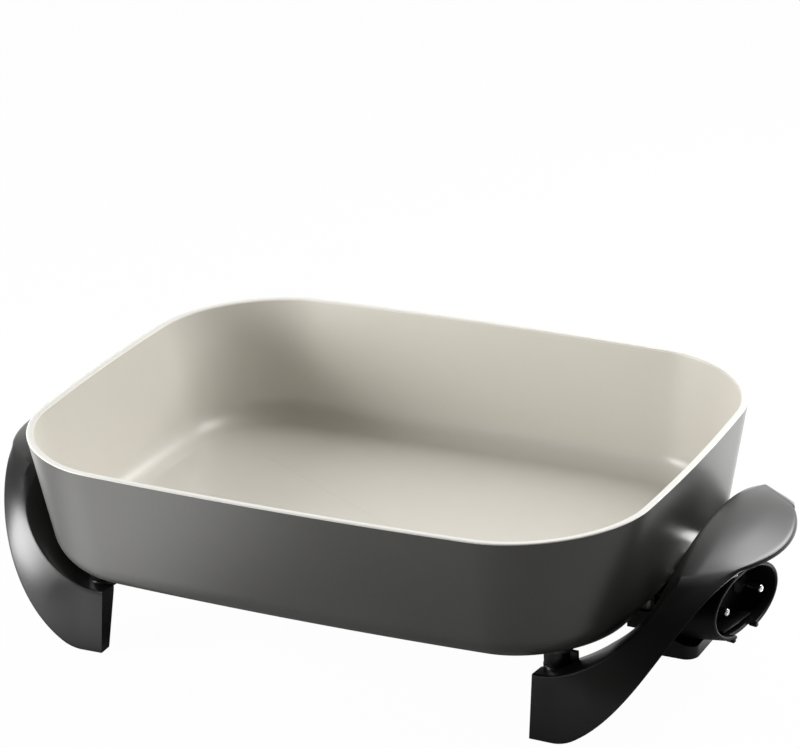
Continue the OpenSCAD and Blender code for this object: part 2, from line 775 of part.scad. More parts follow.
// Side view of the housing, grown by g and reaching down to low
module housing_side(g, low) {
  polygon([
    [neck_x - g, neck_low - g], [step_x - g, neck_low - g], [step_x + 4 - g, low],
    [nose_x + g, low], [nose_x + g, nose_top + g], [back_x + g, nose_top + 5 + g],
    [back_x + g, socket_z], [neck_x - g, socket_z]
  ]);
}
module housing_prism(g, low) {
  intersection() {
    translate([0, housing_rear + g, 0]) rotate([90, 0, 0])
      linear_extrude(housing_w + 2 * g) housing_side(g, low);
    translate([0, 0, low - 1]) linear_extrude(socket_z + 4) rounded_plan(g);
  }
}
// Plan of the housing, with its two outer corners rounded
module rounded_plan(g) {
  r = nose_round + g;
  translate([neck_x - g, -housing_front - g]) square([nose_x - neck_x - nose_round + g, housing_w + 2 * g]);
  translate([neck_x - g, -housing_front - g + r]) square([nose_x - neck_x + 2 * g, housing_w + 2 * g - 2 * r]);
  for (y = [-housing_front - g + r, housing_rear + g - r]) translate([nose_x + g - r, y]) circle(r = r);
}
module housing_envelope(g) {
  housing_prism(g, housing_low - housing_cover_t - g);
}

cover_screw_x = back_x - housing_t - 3;
cover_screw_places = [for (side = [-1, 1]) [cover_screw_x, guard_back_y + side * (housing_w / 2 - 6.5)]];
housing_screw_places = [[neck_x + 11, -housing_front + 6], [neck_x + 11, housing_rear - 6]];
pillar_r = 4;

module terminal_housing() {
  color(phenolic_colour)
  difference() {
    union() {
      difference() {
        housing_prism(0, housing_low);
        housing_cavity();
      }
      intersection() {
        union() {
          for (p = housing_screw_places)
            translate([p.x, p.y, neck_low]) cylinder(r = pillar_r, h = socket_z - neck_low);
          for (p = cover_screw_places)
            translate([p.x, p.y, housing_low]) cylinder(r = pillar_r, h = 9);
        }
        housing_prism(0, housing_low);
      }
    }
    for (p = housing_screw_places)
      translate([p.x, p.y, neck_low - 1]) cylinder(r = housing_screw_r + fit_gap, h = 20);
    for (p = cover_screw_places)
      translate([p.x, p.y, housing_low - 1]) cylinder(r = housing_screw_r + fit_gap / 2, h = 9);
    for (side = [-1, 1])
      translate([back_x - housing_t - 1, guard_screw_y(side), lug_z]) rotate([0, 90, 0])
        cylinder(r = housing_screw_r + fit_gap, h = housing_t + 2);
    for (side = [-1, 1]) {
      along_pin(side) translate([0, 0, -bend_back - 8])
        cylinder(r = element_d / 2 + 2 * seat_gap, h = bend_back + 8);
      translate([neck_x - 1, lead_y(side), socket_z]) rotate([0, 90, 0])
        cylinder(r = element_d / 2 + seat_gap, h = housing_t + 2);
    }
    in_socket() rotate([0, -90, 0]) cylinder(r = probe_tube_r + seat_gap, h = socket_depth + probe_length + 2);
  }
}

module housing_cavity() {
  t = housing_t;
  translate([0, housing_rear - t, 0]) rotate([90, 0, 0]) linear_extrude(housing_w - 2 * t)
    polygon([
      [neck_x + t, neck_low + t], [step_x + t, neck_low + t], [step_x + 4 + t, housing_low - 1],
      [nose_x - nose_round, housing_low - 1], [nose_x - nose_round, nose_top], [back_x - t, nose_top],
      [back_x - t, socket_z + 1], [neck_x + t, socket_z + 1]
    ]);
}

module housing_cover() {
  color(phenolic_colour)
  difference() {
    translate([0, 0, housing_low - housing_cover_t])
      linear_extrude(housing_cover_t - eps)
        intersection() {
          rounded_plan(0);
          translate([step_x + 4, -housing_front]) square([100, housing_w]);
        }
    for (p = cover_screw_places)
      translate([p.x, p.y, housing_low - housing_cover_t - 1])
        cylinder(r = housing_screw_r + fit_gap, h = housing_cover_t + 2);
  }
}

small_head_r = 3.2;
small_head_h = 1.8;
module housing_screws() {
  color(steel_colour)
  for (p = housing_screw_places)
    translate([p.x, p.y, neck_low])
      screw(housing_screw_r, socket_z - neck_low + thread_depth - 0.3, small_head_r, small_head_h);
}
module cover_screws() {
  color(steel_colour)
  for (p = cover_screw_places)
    translate([p.x, p.y, housing_low - housing_cover_t])
      screw(housing_screw_r, housing_cover_t + 7.6, small_head_r, small_head_h);
}
module guard_screws() {
  color(steel_colour)
  for (side = [-1, 1])
    translate([back_x - housing_t, guard_screw_y(side), lug_z]) rotate([0, 90, 0])
      screw(housing_screw_r, housing_t + seat_gap + lug_l - 1.2, small_head_r - 0.6, small_head_h);
}

// ---------------------------------------------------------------- heating element

bend_mid_r = 60;
lead_in = pin_root + 1.5;
bend_back = sheath_start + lead_in;
bend_end_x = end_x + mouth_reach - bend_back * cos(socket_turn) - bend_mid_r * sin(socket_turn);
lead_mid_y = mouth_shift + bend_back * sin(socket_turn) + bend_mid_r * (1 - cos(socket_turn));
function lead_y(side) = lead_mid_y + side * pin_pitch / 2;
bar_sides = 16;

// Stations [x, y, heading] round a bend, given its centre, radius, first and last bearing
function bend(c, r, from, to, steps) = [
  for (n = [0:steps]) let (a = from + (to - from) * n / steps)
    [c.x + r * cos(a), c.y + r * sin(a), a + (to > from ? 90 : -90)]
];

// Centre line of one half, from its pin to the middle of the loop's closed end
function half_line(side) =
  let (
    turn = socket_turn,
    bend_c = [bend_end_x, lead_y(side) - bend_mid_r - side * pin_pitch / 2],
    lead_r = bend_mid_r + side * pin_pitch / 2,
    start = [end_x + mouth_reach - sheath_start * cos(turn) + side * pin_pitch / 2 * sin(turn),
      mouth_shift + sheath_start * sin(turn) + side * pin_pitch / 2 * cos(turn), 180 - turn]
  )
  concat(
    [start],
    bend(bend_c, lead_r, 90 - turn, 90, 2),
    bend([loop_start + near_bend, lead_y(side) + side * near_bend], near_bend, -side * 90, -side * 180, 6),
    bend([loop_start - near_bend, side * (loop_half_w - near_bend)], near_bend, 0, side * 90, 6),
    bend([far_bend - loop_end, side * (loop_half_w - far_bend)], far_bend, side * 90, side * 180, 6)
  );
function bar_ring(s, r) = [
  for (n = [0:bar_sides - 1]) let (a = 360 * (n + 0.5) / bar_sides)
    [s[0] + r * cos(a) * sin(s[2]), s[1] - r * cos(a) * cos(s[2]), socket_z + r * sin(a)]
];
function turned_round(line) = [for (s = reversed(line)) [s[0], s[1], s[2] + 180]];

module heating_element() {
  line = concat(half_line(-1), turned_round(half_line(1)));
  color(sheath_colour)
  difference() {
    skinned([for (s = line) bar_ring(s, element_d / 2)]);
    for (side = [-1, 1])
      along_pin(side) translate([0, 0, -sheath_start - pin_root - fit_gap])
        cylinder(r = shank_r + fit_gap / 2, h = pin_root + fit_gap + 1);
  }
}

ear_l = 9;
clamp_places = [for (sx = [-1, 1]) for (sy = [-1, 1]) [sx * clamp_x, sy * loop_half_w]];
ear_y = element_d / 2 + fit_gap + clamp_t + ear_l / 2;
clamp_screw_places = [for (p = clamp_places) for (s = [-1, 1]) [p.x, p.y + s * ear_y]];

module element_clamps() {
  inner_r = element_d / 2 + fit_gap;
  color(steel_colour)
  for (p = clamp_places)
    translate([p.x - clamp_w / 2, p.y, socket_z])
      difference() {
        union() {
          rotate([0, 90, 0]) cylinder(r = inner_r + clamp_t, h = clamp_w);
          translate([0, -ear_y - ear_l / 2, -clamp_t]) cube([clamp_w, 2 * ear_y + ear_l, clamp_t]);
        }
        translate([-1, 0, 0]) rotate([0, 90, 0]) cylinder(r = inner_r, h = clamp_w + 2);
        translate([-1, -40, 0]) cube([clamp_w + 2, 80, 20]);
        for (s = [-1, 1])
          translate([clamp_w / 2, s * ear_y, -clamp_t - 1])
            cylinder(r = clamp_screw_r + fit_gap, h = clamp_t + 2);
      }
}

module clamp_screws() {
  color(steel_colour)
  for (p = clamp_screw_places)
    translate([p.x, p.y, socket_z - clamp_t])
      screw(clamp_screw_r, clamp_t + thread_depth - 0.3, 2.9, 1.7);
}

// ---------------------------------------------------------------- nodes

pan();
ceramic_coating();
heating_element();
element_clamps();
clamp_screws();
terminal_pin(-1);  // terminal_pin_front
terminal_pin(1);  // terminal_pin_rear
pin_insulator(-1);  // pin_insulator_front
pin_insulator(1);  // pin_insulator_rear
terminal_block();
probe_tube();
terminal_housing();
housing_cover();
housing_screws();
cover_screws();
probe_guard();
guard_screws();
handle(true);  // handle_left
handle(false);  // handle_right
grip_cover(true);  // grip_cover_left
grip_cover(false);  // grip_cover_right
grip_screws(true);  // grip_screws_left
grip_screws(false);  // grip_screws_right
post(-1, -1);  // post_front_left
post(1, -1);  // post_front_right
post(-1, 1);  // post_rear_left
post(1, 1);  // post_rear_right
leg_screws();
leg_washers();
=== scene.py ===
# Looks of a rectangular electric skillet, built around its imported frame.
# Pieces are modelled in millimetres and brought to metres when they are finished.
import math

import bmesh
import bpy
from mathutils import Matrix, Vector


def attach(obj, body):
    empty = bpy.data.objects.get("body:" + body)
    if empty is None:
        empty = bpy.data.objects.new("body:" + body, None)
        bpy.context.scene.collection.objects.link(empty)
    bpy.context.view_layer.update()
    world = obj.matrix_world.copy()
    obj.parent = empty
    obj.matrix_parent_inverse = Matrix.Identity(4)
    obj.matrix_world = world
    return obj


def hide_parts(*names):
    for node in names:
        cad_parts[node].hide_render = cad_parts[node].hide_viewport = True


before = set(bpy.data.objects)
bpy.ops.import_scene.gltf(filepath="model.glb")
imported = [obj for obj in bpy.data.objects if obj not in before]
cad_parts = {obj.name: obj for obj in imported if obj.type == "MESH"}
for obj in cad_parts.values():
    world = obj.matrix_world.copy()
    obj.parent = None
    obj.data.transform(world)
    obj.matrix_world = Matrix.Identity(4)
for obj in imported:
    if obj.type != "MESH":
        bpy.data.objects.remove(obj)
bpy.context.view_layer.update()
mm = 0.001
weldGap = 0.002   # vertices nearer than this, in millimetres, are one
creaseAngle = 32   # degrees
print("frame loaded:", len(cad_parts), "nodes")


# Shader maths: values add up as Python expressions, other nodes come from node().
class Flow:
    def __init__(self, tree, socket=None):
        self.tree = tree
        self.socket = socket

    def node(self, kind, out=0, stops=None, feeds=None, **settings):
        made = self.tree.nodes.new("ShaderNode" + kind)
        for name, value in settings.items():
            setattr(made, name, value)
        for place, (position, shade) in enumerate(stops or []):
            ramp = made.color_ramp.elements
            stop = ramp[place] if place < 2 else ramp.new(position)
            stop.position = position
            stop.color = (*shade, 1)
        for name, value in (feeds or {}).items():
            self.feed(made.inputs[name], value)
        return Flow(self.tree, made.outputs[out])

    def feed(self, target, value):
        if isinstance(value, Flow):
            self.tree.links.new(value.socket, target)
        else:
            target.default_value = value

    def maths(self, operation, first, second):
        return self.node("Math", operation=operation, feeds={0: first, 1: second})

    def __add__(self, other):
        return self.maths("ADD", self, other)

    def __mul__(self, other):
        return self.maths("MULTIPLY", self, other)

    def __sub__(self, other):
        return self.maths("SUBTRACT", self, other)

    def __rsub__(self, other):
        return self.maths("SUBTRACT", other, self)

    __radd__ = __add__
    __rmul__ = __mul__


def grain(flow, place, scale, detail):
    return flow.node("TexNoise", feeds={"Vector": place, "Scale": scale, "Detail": detail})


def tint(flow, mask, finish):
    stops = [(0.25, finish["dark"]), (0.75, finish["light"])]   # noise mostly lies between these two
    return flow.node("ValToRGB", stops=stops, feeds={"Fac": mask})


def varied(middle, mask, span):
    # a value that strays from its middle by half the span at most
    return mask * span + (middle - span / 2)


def bumped(flow, height, depth, strength):
    return flow.node("Bump", feeds={"Height": height, "Distance": depth, "Strength": strength})


def newMaterial(name, plain, build):
    material = bpy.data.materials.new(name)
    material.use_nodes = True
    shader = material.node_tree.nodes["Principled BSDF"]
    for socket, value in plain.items():
        shader.inputs[socket].default_value = value
    flow = Flow(material.node_tree)
    place = flow.node("TexCoord", out="Object")
    for socket, value in build(flow, place).items():
        flow.feed(shader.inputs[socket], value)
    return material


# Depths of the finishes' grain and heights on a piece are in metres, as the finished pieces are.
enamel = {
    "dark": (0.152, 0.151, 0.145), "light": (0.176, 0.175, 0.168), "fleck": 1500, "fleckShare": 0.6,
    "cloud": 14, "roughness": 0.3, "fleckRough": 0.08, "cloudRough": 0.05, "fleckDepth": 0.000006,
    "bump": 0.3,
}


def enamelLook(flow, place):
    fleck = grain(flow, place, enamel["fleck"], 1)
    cloud = grain(flow, place, enamel["cloud"], 3)
    mottle = fleck * enamel["fleckShare"] + cloud * (1 - enamel["fleckShare"])
    clouded = varied(enamel["roughness"], cloud, enamel["cloudRough"])
    return {
        "Base Color": tint(flow, mottle, enamel),
        "Roughness": varied(clouded, fleck, enamel["fleckRough"]),
        "Normal": bumped(flow, fleck, enamel["fleckDepth"], enamel["bump"]),
    }


cream = {
    # the rim colour is a painted highlight: the coat is painted paler on the rim's top, where more light
    # would fall
    "dark": (0.72, 0.69, 0.622), "light": (0.745, 0.718, 0.652), "rim": (0.87, 0.855, 0.80),
    "rimSpan": (0.1372, 0.1377), "cloud": 9, "peel": 260, "roughness": 0.3, "cloudRough": 0.05,
    "peelDepth": 0.00003, "bump": 0.35,
}


def creamLook(flow, place):
    cloud = grain(flow, place, cream["cloud"], 3)
    peel = grain(flow, place, cream["peel"], 1)
    height = flow.node("SeparateXYZ", out="Z", feeds={"Vector": place})
    low, high = cream["rimSpan"]   # over these heights the coat turns to the paler rim colour, a painted highlight on the rim's top
    paintedRimMask = flow.node("MapRange", feeds={"Value": height, "From Min": low, "From Max": high})
    coat = tint(flow, cloud, cream)
    rim = (*cream["rim"], 1)
    return {
        "Base Color": flow.node("Mix", out=2, data_type="RGBA", feeds={0: paintedRimMask, 6: coat, 7: rim}),
        "Roughness": varied(cream["roughness"], cloud, cream["cloudRough"]),
        "Normal": bumped(flow, peel, cream["peelDepth"], cream["bump"]),
    }


phenolic = {
    "dark": (0.0042, 0.0042, 0.004), "light": (0.0062, 0.0062, 0.0059), "cloud": 20, "peel": 420,
    "roughness": 0.31, "mattExtra": 0.14, "cloudRough": 0.07, "peelDepth": 0.00002, "bump": 0.4,
}


def phenolicLook(flow, place, extra=0.0):
    cloud = grain(flow, place, phenolic["cloud"], 4)
    peel = grain(flow, place, phenolic["peel"], 2)
    return {
        "Base Color": tint(flow, cloud, phenolic),
        "Roughness": varied(phenolic["roughness"] + extra, cloud, phenolic["cloudRough"]),
        "Normal": bumped(flow, peel, phenolic["peelDepth"], phenolic["bump"]),
    }


def mattLook(flow, place):
    return phenolicLook(flow, place, phenolic["mattExtra"])


zinc = {
    "dark": (0.50, 0.50, 0.49), "light": (0.68, 0.68, 0.67), "brushed": 160, "stretch": (1, 1, 30),
    "roughness": 0.26, "brushedRough": 0.12,
}


def zincLook(flow, place):
    stretched = flow.node("Mapping", feeds={"Vector": place, "Scale": zinc["stretch"]})
    brushed = grain(flow, stretched, zinc["brushed"], 2)
    return {
        "Base Color": tint(flow, brushed, zinc),
        "Roughness": varied(zinc["roughness"], brushed, zinc["brushedRough"]),
    }


bright = {
    "dark": (0.80, 0.80, 0.79), "light": (0.90, 0.90, 0.89), "haze": 300, "roughness": 0.13,
    "hazeRough": 0.06,
}


def brightLook(flow, place):
    haze = grain(flow, place, bright["haze"], 2)
    return {
        "Base Color": tint(flow, haze, bright),
        "Roughness": varied(bright["roughness"], haze, bright["hazeRough"]),
    }


sheath = {
    "dark": (0.085, 0.078, 0.07), "light": (0.23, 0.21, 0.19), "cloud": 26, "cloudShare": 0.7, "scale": 700,
    "roughness": 0.52, "scaleRough": 0.2, "scaleDepth": 0.00003, "bump": 0.5,
}


def sheathLook(flow, place):
    cloud = grain(flow, place, sheath["cloud"], 4)
    scale = grain(flow, place, sheath["scale"], 3)
    mottle = cloud * sheath["cloudShare"] + scale * (1 - sheath["cloudShare"])
    return {
        "Base Color": tint(flow, mottle, sheath),
        "Roughness": varied(sheath["roughness"], scale, sheath["scaleRough"]),
        "Normal": bumped(flow, scale, sheath["scaleDepth"], sheath["bump"]),
    }


# the insulators are coloured near-black as painted shade for the dark inside of the socket
insulator = {
    "dark": (0.018, 0.017, 0.016), "light": (0.035, 0.033, 0.03), "speck": 1200, "roughness": 0.575,
    "speckRough": 0.15, "speckDepth": 0.00003, "bump": 0.5,
}


def insulatorLook(flow, place):
    speck = grain(flow, place, insulator["speck"], 3)
    return {
        "Base Color": tint(flow, speck, insulator),
        "Roughness": varied(insulator["roughness"], speck, insulator["speckRough"]),
        "Normal": bumped(flow, speck, insulator["speckDepth"], insulator["bump"]),
    }


finishes = {
    "charcoalEnamel": ({"IOR": 1.5, "Metallic": 0.55}, enamelLook),
    "creamCeramic": ({"IOR": 1.5}, creamLook),
    "blackPhenolic": ({"IOR": 1.58}, phenolicLook),
    "mattPhenolic": ({"IOR": 1.48}, mattLook),
    "zincSteel": ({"Metallic": 1.0}, zincLook),
    "brightSteel": ({"Metallic": 1.0}, brightLook),
    "sheathSteel": ({"Metallic": 0.75}, sheathLook),
    "insulatorPaintedShade": ({"IOR": 1.5}, insulatorLook),
}
looks = {name: newMaterial(name, plain, build) for name, (plain, build) in finishes.items()}
print("materials:", len(looks))


# Making and finishing pieces.
def vertsOf(made):
    return [g for g in made if isinstance(g, bmesh.types.BMVert)]


def edgesOf(made):
    return [g for g in made if isinstance(g, bmesh.types.BMEdge)]


def facesOf(made):
    return [g for g in made if isinstance(g, bmesh.types.BMFace)]


def finishPiece(bm, name, look, nodes, angle=creaseAngle):
    bmesh.ops.remove_doubles(bm, verts=bm.verts, dist=weldGap)
    bmesh.ops.recalc_face_normals(bm, faces=bm.faces)
    bmesh.ops.scale(bm, vec=(mm, mm, mm), verts=bm.verts)
    mesh = bpy.data.meshes.new(name)
    bm.to_mesh(mesh)
    bm.free()
    mesh.shade_smooth()
    mesh.set_sharp_from_angle(angle=math.radians(angle))
    mesh.materials.append(looks[look])
    piece = bpy.data.objects.new(name, mesh)
    bpy.context.scene.collection.objects.link(piece)
    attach(piece, "root")
    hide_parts(*nodes)
    print("made", name, "with", len(mesh.polygons), "faces")


def mirrored(bm):
    # a copy of the piece for the other end of the pan
    twin = bm.copy()
    bmesh.ops.scale(twin, vec=(-1, 1, 1), verts=twin.verts)
    bmesh.ops.reverse_faces(twin, faces=twin.faces)
    return twin


def joinInto(bm, part):
    mesh = bpy.data.meshes.new("spare")
    part.to_mesh(mesh)
    part.free()
    bm.from_mesh(mesh)
    bpy.data.meshes.remove(mesh)


def moveTo(verts, places):
    for vert, place in zip(verts, places, strict=True):
        vert.co = place


def ringEdges(ring):
    own = set(ring)
    return list({edge for vert in ring for edge in vert.link_edges if edge.other_vert(vert) in own})


def startRing(bm, places):
    ring = bmesh.ops.create_circle(bm, segments=len(places), radius=1)["verts"]
    moveTo(ring, places)
    return ring


def nextRing(bm, ring, places):
    # extrudes a closed ring of vertices and moves the new ring to its places
    old = set(ring)
    made = bmesh.ops.extrude_edge_only(bm, edges=ringEdges(ring))["geom"]
    follower = {}
    for vert in vertsOf(made):
        for edge in vert.link_edges:
            if edge.other_vert(vert) in old:
                follower[edge.other_vert(vert)] = vert
    fresh = [follower[vert] for vert in ring]
    moveTo(fresh, places)
    return fresh


def loft(rings, capped=True):
    bm = bmesh.new()
    first = startRing(bm, rings[0])
    firstEdges = ringEdges(first)
    last = first
    for places in rings[1:]:
        last = nextRing(bm, last, places)
    if capped:
        lastEdges = ringEdges(last)
        bmesh.ops.contextual_create(bm, geom=firstEdges)
        bmesh.ops.contextual_create(bm, geom=lastEdges)
    return bm


def roundEdges(bm, edges, offset, segments):
    bmesh.ops.bevel(bm, geom=edges, offset=offset, segments=segments, profile=0.5, affect="EDGES",
                    material=-1)


def addCylinder(bm, radius, length, foot, edge, steps=40):
    # an upright cylinder on its foot, with both rims bevelled
    place = Matrix.Translation(Vector(foot) + Vector((0, 0, length / 2)))
    made = bmesh.ops.create_cone(bm, cap_ends=True, segments=steps, radius1=radius, radius2=radius,
                                 depth=length, matrix=place)
    edges = {e for v in made["verts"] for e in v.link_edges}
    rims = [e for e in edges if abs(e.verts[0].co.z - e.verts[1].co.z) < length / 2]
    roundEdges(bm, rims, edge, 3)


def addBox(bm, low, high, edge, place=Matrix()):
    made = bmesh.ops.create_cube(bm, size=1)["verts"]
    low, high = Vector(low), Vector(high)
    bmesh.ops.scale(bm, vec=high - low, verts=made)
    bmesh.ops.translate(bm, vec=(low + high) / 2, verts=made)
    bmesh.ops.transform(bm, matrix=place, verts=made)
    roundEdges(bm, list({e for v in made for e in v.link_edges}), edge, 2)


def cutWith(bm, cutter):
    # takes the cutter's volume out of the piece, by a boolean that is applied at once
    objects = []
    for part in (bm, cutter):
        bmesh.ops.recalc_face_normals(part, faces=part.faces)
        mesh = bpy.data.meshes.new("spare")
        part.to_mesh(mesh)
        part.free()
        objects.append(bpy.data.objects.new("spare", mesh))
        bpy.context.scene.collection.objects.link(objects[-1])
    body, tool = objects
    difference = body.modifiers.new("cut", "BOOLEAN")
    difference.operation = "DIFFERENCE"
    difference.solver = "EXACT"
    difference.object = tool
    result = bpy.data.meshes.new_from_object(body.evaluated_get(bpy.context.evaluated_depsgraph_get()))
    for spare in objects:
        bpy.data.objects.remove(spare)
    cut = bmesh.new()
    cut.from_mesh(result)
    bpy.data.meshes.remove(result)
    return cut


def mix(a, b, share):
    return a * (1 - share) + b * share


def clamp(value):
    return min(1, max(0, value))


def hump(share):
    # nothing at both ends, 1 halfway
    return 4 * share * (1 - share)


def bezier(p, t):
    s = 1 - t
    return s ** 3 * p[0] + 3 * s * s * t * p[1] + 3 * s * t * t * p[2] + t ** 3 * p[3]


# The pan and its ceramic coating.
pan = {
    "length": 415, "width": 310, "depth": 85.5, "underside": 53.1, "corner": 73.5, "bow": 8, "lean": 15.2,
    "fillet": 23, "wall": 3.8, "floor": 4.6, "coating": 0.7, "cornerSteps": 28, "sideSteps": 26,
    "filletSteps": 12, "floorCrease": 7, "rimRound": 1.15, "rimSteps": 6, "rimGap": 0.02,
    "undersideInset": 68, "floorInsets": (6, 40), "leastInset": 0.001,
}
rimZ = pan["underside"] + pan["depth"]
metalRim = rimZ - pan["coating"]
floorTop = pan["underside"] + pan["floor"]
leanAngle = math.atan(pan["lean"] / pan["depth"])
endX = pan["length"] / 2
sideY = pan["width"] / 2


def leanIn(z, skin):
    return pan["lean"] * (rimZ - z) / pan["depth"] + skin / math.cos(leanAngle)


def filletProfile(floorZ, skin, radius, crease=0.0):
    # from the leaning wall down to the floor; crease is the slope that is left where it meets the floor
    centreZ = floorZ + radius
    centreInset = leanIn(centreZ, skin) + radius / math.cos(leanAngle)
    floorAngle = math.pi / 2 - math.radians(crease)
    steps = pan["filletSteps"]
    angles = [mix(leanAngle, floorAngle, n / steps) for n in range(steps + 1)]
    drop = radius * (1 - math.sin(floorAngle))
    return [(centreInset - radius * math.cos(a), centreZ - radius * math.sin(a) - drop * (n / steps))
            for n, a in enumerate(angles)]


def hollowProfile():
    # the casting's inside, which the coating covers
    top = [(0, metalRim), (leanIn(metalRim, pan["wall"]), metalRim)]
    return top + filletProfile(floorTop, pan["wall"], pan["fillet"] - pan["wall"])


def panOutline(bm):
    a = endX - pan["bow"]
    b = sideY - pan["bow"]
    made = bmesh.ops.create_grid(bm, x_segments=1, y_segments=1, size=1)
    bmesh.ops.scale(bm, vec=(a, b, 1), verts=made["verts"])
    bmesh.ops.bevel(bm, geom=bm.verts[:], offset=pan["corner"], segments=pan["cornerSteps"], profile=0.5,
                    affect="VERTICES", offset_type="OFFSET", material=-1)
    long = [edge for edge in bm.edges if edge.calc_length() > pan["corner"]]
    bmesh.ops.subdivide_edges(bm, edges=long, cuts=pan["sideSteps"])
    for vert in bm.verts:
        x, y = vert.co.x, vert.co.y
        vert.co.x = x * (1 + pan["bow"] * (1 - (y / b) ** 2) / a)
        vert.co.y = y * (1 + pan["bow"] * (1 - (x / a) ** 2) / b)
    return bm.faces[:][0]


def sinkInto(bm, face, profile):
    # insets the face step by step along a profile of (inset, height); an upright step is extruded
    for (inset, z), (nextInset, nextZ) in zip(profile, profile[1:]):
        if nextInset - inset > pan["leastInset"]:
            bmesh.ops.inset_region(bm, faces=[face], thickness=nextInset - inset, use_even_offset=True,
                                   use_boundary=True)
        else:
            face = facesOf(bmesh.ops.extrude_face_region(bm, geom=[face])["geom"])[0]
        bmesh.ops.translate(bm, vec=(0, 0, nextZ - z), verts=face.verts)


def panShell(outside, inside):
    # two stacks that start from the same rim outline, joined there
    bm = bmesh.new()
    for profile in (outside, inside):
        part = bmesh.new()
        face = panOutline(part)
        bmesh.ops.translate(part, vec=(0, 0, profile[0][1]), verts=part.verts)
        sinkInto(part, face, profile)
        if profile is outside:
            bmesh.ops.reverse_faces(part, faces=part.faces)
        joinInto(bm, part)
    bmesh.ops.remove_doubles(bm, verts=bm.verts, dist=weldGap)
    return bm


post = {
    "x": endX - 52.5, "y": sideY - 59, "radius": 8.5, "height": 9.4, "steps": 56, "edge": 0.5,
    "rib": 13, "ribThick": 2.6, "ribEdge": 0.4,
    "boss": 3, "bossRim": 1, "bossSunk": 2.5, "bossEdge": 0.6, "padRim": 0.4, "padDepth": 4,
}
padZ = pan["underside"] - post["boss"] - post["height"]
screwBoss = {
    "low": 49, "edge": 0.3, "clampX": 62, "clampY": 75, "spread": 10.1, "clampRadius": 3.6, "clampSunk": 1,
    "housingX": endX - 24.5, "housingFront": -27, "housingRear": 38, "housingRadius": 4, "housingSunk": 2.5,
}


def addScrewBoss(bm, x, y, radius, sunk):
    height = pan["underside"] - screwBoss["low"] + sunk   # reaches into the casting's floor
    addCylinder(bm, radius, height, (x, y, screwBoss["low"]), screwBoss["edge"])


def makePan():
    skirt = [(0, metalRim)] + filletProfile(pan["underside"], 0, pan["fillet"])
    skirt += [(pan["undersideInset"], pan["underside"])]
    bm = panShell(skirt, hollowProfile())
    for sx in (-1, 1):
        for sy in (-1, 1):
            spot = (sx * post["x"], sy * post["y"], pan["underside"] - post["boss"])
            addCylinder(bm, post["radius"] + post["bossRim"], post["boss"] + post["bossSunk"], spot,
                        post["bossEdge"])
            for side in (-1, 1):
                y = sy * screwBoss["clampY"] + side * screwBoss["spread"]
                addScrewBoss(bm, sx * screwBoss["clampX"], y, screwBoss["clampRadius"],
                             screwBoss["clampSunk"])
    for y in (screwBoss["housingFront"], screwBoss["housingRear"]):
        addScrewBoss(bm, screwBoss["housingX"], y, screwBoss["housingRadius"], screwBoss["housingSunk"])
    finishPiece(bm, "panCasting", "charcoalEnamel", ["pan"])


def makeCoating():
    skin = pan["wall"] + pan["coating"]
    roll = pan["rimRound"]
    inner = leanIn(rimZ, skin)
    turns = [math.pi / 2 * n / pan["rimSteps"] for n in range(1, pan["rimSteps"] + 1)]
    over = [(0, metalRim)]
    over += [(pan["rimGap"] + roll * (1 - math.cos(a)), metalRim + pan["coating"] * math.sin(a))
             for a in turns]
    over += [(inner - roll * (1 - math.cos(a)), rimZ - roll * (1 - math.sin(a))) for a in turns[-2::-1]]
    over += [(inner, rimZ - roll)]
    over += filletProfile(floorTop + pan["coating"], skin, pan["fillet"] - skin, pan["floorCrease"])
    edge, low = over[-1]
    over += [(edge + further, low) for further in pan["floorInsets"]]
    bm = panShell(hollowProfile(), over)
    finishPiece(bm, "ceramicSkin", "creamCeramic", ["ceramic_coating"])


makePan()
makeCoating()


# The handles: a curved section carried from one foot over the grip to the other.
# A pair of pulls bends a leg's curve: the first leaves the foot, the second reaches the crease.
handle = {
    "footInset": 61.7, "footSetback": 41.5, "footHeight": 39.4, "footLength": 21, "footThick": 9.5,
    "footTopThick": 14, "footTopDrop": 1.7, "footSplay": 6.7, "soleSkew": 0.5, "soleShare": 0.13,
    "toeRound": 0.035, "solidShare": 0.3, "wall": 3, "edgeRound": 0.9, "crispEdge": 0.36, "edgeShare": 0.4,
    "gap": 6.9, "height": 92, "outerRise": 1, "rootReach": 34.4, "innerHalf": 70, "outerHalf": 47,
    "skirtInset": 11.5, "skirtHalf": 52, "skirtLow": 60,
    "upperPulls": ((31.2, -3.5, -2.6), (5.3, -35, -17)),
    "lowerPulls": ((45.8, -1.9, 22.9), (-20, -54, -8.5)),
    "skirtPulls": ((22, 7.5, 3.3), (-10, -22, -14)),
    "rise": 13.4, "fall": 14.1, "gripBulge": 1.6, "gripReach": 46, "skirtMiddleInset": 0.5,
    "skirtHeight": 77, "lip": 3.8, "cornerStep": 1.7, "browSet": 1.05, "notch": 1,
    "lipPower": 4, "notchPower": 12, "tuckPower": 6,   # the higher, the nearer to the creases they act
    "ridge": 3.9, "ridgeAt": 0.16, "ridgeMiddle": 0.8, "ridgeMiddleAt": 0.05, "ridgeStart": 0.7,
    "faceCrown": 1, "gripCrown": 1.8, "swell": 1.8, "swellEnd": 0.85, "swellFade": 0.25,
    "faceBlend": 0.82, "creaseEase": 3, "creaseSpan": 3, "legSteps": 52, "gripSteps": 46, "gripEnd": 0.992,
    # points across a leg's face, as shares of the way up it: those below its ridge, and the one above
    "belowRidge": (0.07, 0.14, 0.21, 0.29, 0.38, 0.48, 0.58, 0.67, 0.76), "aboveRidge": 0.92,
    # the lip's roll as (outward, upward) shares of its height, from the lower edge to the brow
    "lipRoll": ((0.01, 0.12), (-0.02, 0.28), (-0.1, 0.46), (-0.24, 0.63), (-0.45, 0.79), (-0.72, 0.91)),
    # the inner side's points as (way down, share of the swell)
    "innerSwell": ((0.2, 0.45), (0.45, 0.9), (0.7, 1), (0.9, 0.55)),
}
